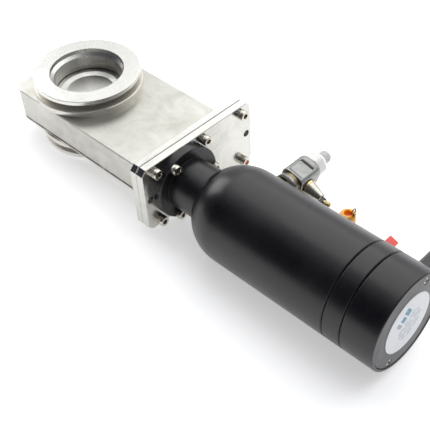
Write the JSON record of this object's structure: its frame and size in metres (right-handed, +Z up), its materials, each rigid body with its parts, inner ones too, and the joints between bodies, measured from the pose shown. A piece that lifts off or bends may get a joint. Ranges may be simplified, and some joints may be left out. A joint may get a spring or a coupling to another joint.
{
  "type": "pneumatic vacuum gate valve",
  "caption": "Pneumatic sliding gate valve: flat steel body with round clamp-flange ports and a bottle-shaped black air cylinder.",
  "frame": {"origin": "centre of the lower port's sealing face", "axes": "+X from the port axis towards the actuator, +Z up along the port axis"},
  "size_m": [0.3291, 0.1129, 0.0648],
  "materials": {
    "satin_steel": "satin, fine brushed",
    "turned_steel": "fine turned",
    "polished_steel": "ground and polished",
    "weld_steel": "as welded",
    "screw_steel": "bright stainless",
    "black_anodised": "satin black anodised",
    "grey_anodised": "satin grey",
    "plain_aluminium": "machined",
    "label_film": "satin film",
    "black_rubber": "matte",
    "bronze": "dull",
    "brass": "satin",
    "white_plastic": "matte",
    "die_cast_zinc": "die-cast",
    "nickel_plate": "nickel plated",
    "pale_knob": "satin",
    "black_plastic": "matte",
    "orange_plastic": "semi-gloss",
    "red_plastic": "semi-gloss"
  },
  "bodies": {
    "valve_body": {"actuator_flange": "black_anodised", "base_plate": "satin_steel", "body_flange": "polished_steel", "body_shell": "satin_steel", "bonnet_lock_washers": "screw_steel", "bonnet_plate": "polished_steel", "bonnet_screws": "screw_steel", "bonnet_seal": "black_rubber", "breather_stub": "black_plastic", "breather_tip": "brass", "cap_stub": "bronze", "controller_brass_washer": "brass", "controller_seal": "black_rubber", "controller_steel_washer": "screw_steel", "controller_stud": "brass", "cover_posts": "plain_aluminium", "cover_screws": "screw_steel", "cylinder_barrel": "black_anodised", "cylinder_head": "black_anodised", "electrical_inlet": "black_plastic", "end_cover": "grey_anodised", "flange_screws": "screw_steel", "head_seal": "black_rubber", "inlet_pins": "brass", "label_disc": "label_film", "lower_collar": "turned_steel", "lower_port_flange": "turned_steel", "orange_cap": "orange_plastic", "pilot_coil": "black_plastic", "position_switches": "black_plastic", "rear_housing": "black_anodised", "red_plug": "red_plastic", "seal_spacer": "turned_steel", "shaft_bush": "bronze", "shaft_seals": "black_rubber", "stitch_welds": "weld_steel", "switch_bracket": "plain_aluminium", "upper_collar": "turned_steel", "upper_port_flange": "turned_steel"},
    "gate_carriage": {"gate_shaft": "turned_steel", "piston": "plain_aluminium", "piston_seal": "black_rubber", "piston_wear_ring": "white_plastic", "piston_nut": "screw_steel", "gate_plate": "turned_steel", "gate_seal": "black_rubber", "gate_screws": "screw_steel", "gate_carriage": "satin_steel", "roller_axles": "turned_steel", "counter_plate": "satin_steel", "leaf_springs": "turned_steel"},
    "front_rollers": {"rollers_front": "turned_steel"},
    "rear_rollers": {"rollers_rear": "turned_steel"},
    "speed_controller": {"controller_body": "die_cast_zinc", "outlet_ring": "brass", "outlet_nut": "nickel_plate", "needle_nut": "nickel_plate"},
    "needle": {"needle": "turned_steel"},
    "adjusting_knob": {"adjusting_knob": "pale_knob"},
    "pull_ring": {"pull_ring": "bronze"}
  },
  "joints": [
    {"name": "gate_slide", "type": "slide", "parent": "valve_body", "child": "gate_carriage", "axis": [1, 0, 0], "range_m": [0, 0.057]},
    {"name": "front_roller_spin", "type": "hinge", "parent": "gate_carriage", "child": "front_rollers", "pos_m": [-0.014, 0, 0.0185], "axis": [0, 1, 0], "range_deg": [0, 818.5]},
    {"name": "rear_roller_spin", "type": "hinge", "parent": "gate_carriage", "child": "rear_rollers", "pos_m": [0.034, 0, 0.0185], "axis": [0, 1, 0], "range_deg": [0, 818.5]},
    {"name": "controller_swivel", "type": "hinge", "parent": "valve_body", "child": "speed_controller", "pos_m": [0.167, 0, 0.0247], "axis": [0, 1, 0], "continuous": true},
    {"name": "needle_travel", "type": "slide", "parent": "speed_controller", "child": "needle", "axis": [0, 1, 0], "range_m": [0, 0.004]},
    {"name": "knob_turn", "type": "hinge", "parent": "needle", "child": "adjusting_knob", "pos_m": [0.167, 0, 0.0247], "axis": [0, 1, 0], "range_deg": [0, 2880]},
    {"name": "ring_swing", "type": "hinge", "parent": "valve_body", "child": "pull_ring", "pos_m": [0.21724, 0.02746, 0.0288], "axis": [0, 1, 0], "range_deg": [-85, 85]}
  ],
  "couplings": [
    {"joint": "front_roller_spin", "follows": "gate_slide", "rad_per_m": 250},
    {"joint": "rear_roller_spin", "follows": "gate_slide", "rad_per_m": 250},
    {"joint": "knob_turn", "follows": "needle_travel", "rad_per_m": 12566}
  ]
}
